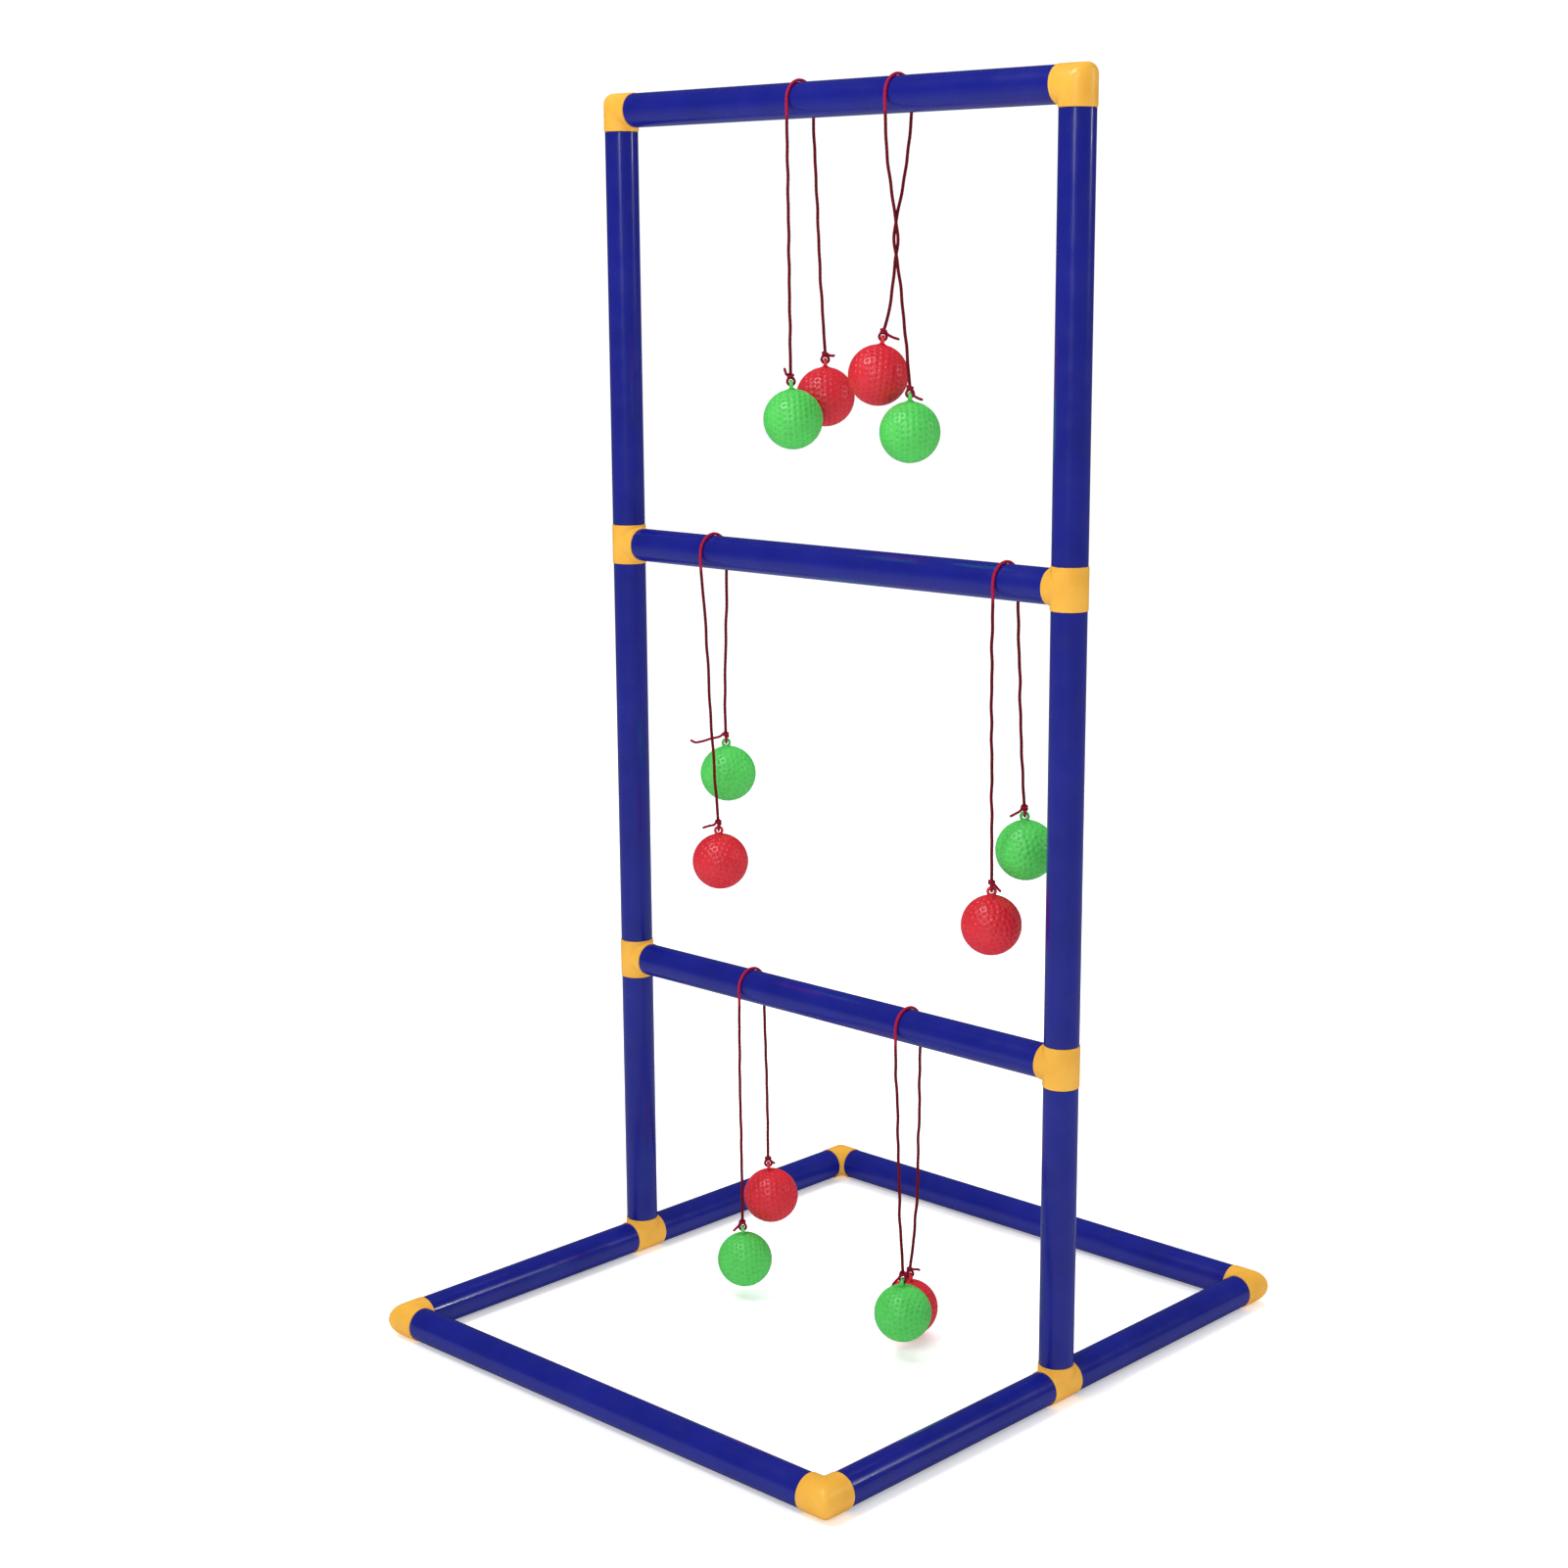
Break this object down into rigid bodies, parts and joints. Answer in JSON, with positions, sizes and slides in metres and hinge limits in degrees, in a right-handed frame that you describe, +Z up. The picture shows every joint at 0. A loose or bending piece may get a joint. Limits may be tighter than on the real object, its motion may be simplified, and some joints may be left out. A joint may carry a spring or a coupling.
{
  "type": "ladder toss frame",
  "caption": "Push-fit tube ladder on a flat rectangular base, with two-ball bolas hung over its rungs.",
  "frame": {"origin": "on the floor, at the middle of the base", "axes": "+X along the rungs, +Y across the base from its front tube to its back tube, +Z up the ladder"},
  "size_m": [0.4562, 0.5122, 0.9227],
  "materials": {
    "tube": "deep blue, smooth and glossy",
    "fitting": "yellow-orange, smooth moulded gloss",
    "green_ball": "bright green, dimpled, semi-gloss",
    "red_ball": "red, dimpled, semi-gloss",
    "cord": "crimson braided cord"
  },
  "bodies": {
    "base": {"base_front_tube": "tube", "base_back_tube": "tube", "base_left_front_tube": "tube", "base_left_back_tube": "tube", "base_right_front_tube": "tube", "base_right_back_tube": "tube", "front_left_corner": "fitting", "back_left_corner": "fitting", "front_right_corner": "fitting", "back_right_corner": "fitting", "base_left_tee": "fitting", "base_right_tee": "fitting"},
    "ladder": {"low_rung": "tube", "middle_rung": "tube", "top_rung": "tube", "left_low_upright": "tube", "left_middle_upright": "tube", "left_top_upright": "tube", "right_low_upright": "tube", "right_middle_upright": "tube", "right_top_upright": "tube", "left_low_tee": "fitting", "left_middle_tee": "fitting", "right_low_tee": "fitting", "right_middle_tee": "fitting", "left_top_elbow": "fitting", "right_top_elbow": "fitting"},
    "bola_1": {"bola_1_cord": "cord"},
    "bola_1_green_end": {"bola_1_green_ball": "green_ball"},
    "bola_1_red_end": {"bola_1_red_ball": "red_ball"},
    "bola_2": {"bola_2_cord": "cord"},
    "bola_2_red_end": {"bola_2_red_ball": "red_ball"},
    "bola_2_green_end": {"bola_2_green_ball": "green_ball"},
    "bola_3": {"bola_3_cord": "cord"},
    "bola_3_red_end": {"bola_3_red_ball": "red_ball"},
    "bola_3_green_end": {"bola_3_green_ball": "green_ball"},
    "bola_4": {"bola_4_cord": "cord"},
    "bola_4_red_end": {"bola_4_red_ball": "red_ball"},
    "bola_4_green_end": {"bola_4_green_ball": "green_ball"},
    "bola_5": {"bola_5_cord": "cord"},
    "bola_5_green_end": {"bola_5_green_ball": "green_ball"},
    "bola_5_red_end": {"bola_5_red_ball": "red_ball"},
    "bola_6": {"bola_6_cord": "cord"},
    "bola_6_green_end": {"bola_6_green_ball": "green_ball"},
    "bola_6_red_end": {"bola_6_red_ball": "red_ball"}
  },
  "joints": [
    {"name": "ladder_lift", "type": "slide", "parent": "base", "child": "ladder", "axis": [0, 0, 1], "range_m": [0, 0.025]},
    {"name": "bola_1_swing", "type": "hinge", "parent": "ladder", "child": "bola_1", "pos_m": [-0.03, 0, 0.908], "axis": [1, 0, 0], "range_deg": [-60, 60]},
    {"name": "bola_1_green_tilt", "type": "hinge", "parent": "bola_1", "child": "bola_1_green_end", "pos_m": [-0.01989, -0.02139, 0.71097], "axis": [0.7061, 0.7061, 0.0523], "range_deg": [-45, 0]},
    {"name": "bola_1_red_tilt", "type": "hinge", "parent": "bola_1", "child": "bola_1_red_end", "pos_m": [-0.0255, 0.0205, 0.725], "axis": [0.7071, 0.7071, 0], "range_deg": [0, 45]},
    {"name": "bola_2_swing", "type": "hinge", "parent": "ladder", "child": "bola_2", "pos_m": [0.062, 0, 0.908], "axis": [1, 0, 0], "range_deg": [-60, 60]},
    {"name": "bola_2_red_tilt", "type": "hinge", "parent": "bola_2", "child": "bola_2_red_end", "pos_m": [0.04607, 0.00207, 0.74282], "axis": [0.7018, 0.7018, -0.1219], "range_deg": [0, 45]},
    {"name": "bola_2_green_tilt", "type": "hinge", "parent": "bola_2", "child": "bola_2_green_end", "pos_m": [0.0735, 0, 0.7045], "axis": [0.7071, 0.7071, 0], "range_deg": [-30, 0]},
    {"name": "bola_3_swing", "type": "hinge", "parent": "ladder", "child": "bola_3", "pos_m": [-0.122, 0, 0.583], "axis": [1, 0, 0], "range_deg": [-60, 60]},
    {"name": "bola_3_red_tilt", "type": "hinge", "parent": "bola_3", "child": "bola_3_red_end", "pos_m": [-0.10524, -0.01474, 0.37248], "axis": [0.7071, -0.7071, 0], "range_deg": [-30, 40]},
    {"name": "bola_3_green_tilt", "type": "hinge", "parent": "bola_3", "child": "bola_3_green_end", "pos_m": [-0.12389, 0.01311, 0.43447], "axis": [0.7071, -0.7071, 0], "range_deg": [-30, 40]},
    {"name": "bola_4_swing", "type": "hinge", "parent": "ladder", "child": "bola_4", "pos_m": [0.1605, 0, 0.583], "axis": [1, 0, 0], "range_deg": [-60, 60]},
    {"name": "bola_4_red_tilt", "type": "hinge", "parent": "bola_4", "child": "bola_4_red_end", "pos_m": [0.1625, -0.014, 0.3685], "axis": [0.7071, -0.7071, 0], "range_deg": [-40, 25]},
    {"name": "bola_4_green_tilt", "type": "hinge", "parent": "bola_4", "child": "bola_4_green_end", "pos_m": [0.16926, 0.01326, 0.41848], "axis": [0.7071, -0.7071, 0], "range_deg": [-15, 20]},
    {"name": "bola_5_swing", "type": "hinge", "parent": "ladder", "child": "bola_5", "pos_m": [-0.086, 0, 0.25], "axis": [1, 0, 0], "range_deg": [-60, 60]},
    {"name": "bola_5_green_tilt", "type": "hinge", "parent": "bola_5", "child": "bola_5_green_end", "pos_m": [-0.08339, -0.01489, 0.05447], "axis": [0.7061, 0.7061, 0.0523], "range_deg": [-40, 40]},
    {"name": "bola_5_red_tilt", "type": "hinge", "parent": "bola_5", "child": "bola_5_red_end", "pos_m": [-0.08168, 0.01282, 0.10044], "axis": [0.7054, 0.7054, 0.0698], "range_deg": [-25, 40]},
    {"name": "bola_6_swing", "type": "hinge", "parent": "ladder", "child": "bola_6", "pos_m": [0.074, 0, 0.25], "axis": [1, 0, 0], "range_deg": [-60, 60]},
    {"name": "bola_6_green_tilt", "type": "hinge", "parent": "bola_6", "child": "bola_6_green_end", "pos_m": [0.087, -0.0195, 0.0595], "axis": [0.9397, 0.342, 0], "range_deg": [-20, 0]},
    {"name": "bola_6_red_tilt", "type": "hinge", "parent": "bola_6", "child": "bola_6_red_end", "pos_m": [0.0635, 0.0155, 0.0465], "axis": [0.5, 0.866, 0], "range_deg": [0, 40]}
  ]
}
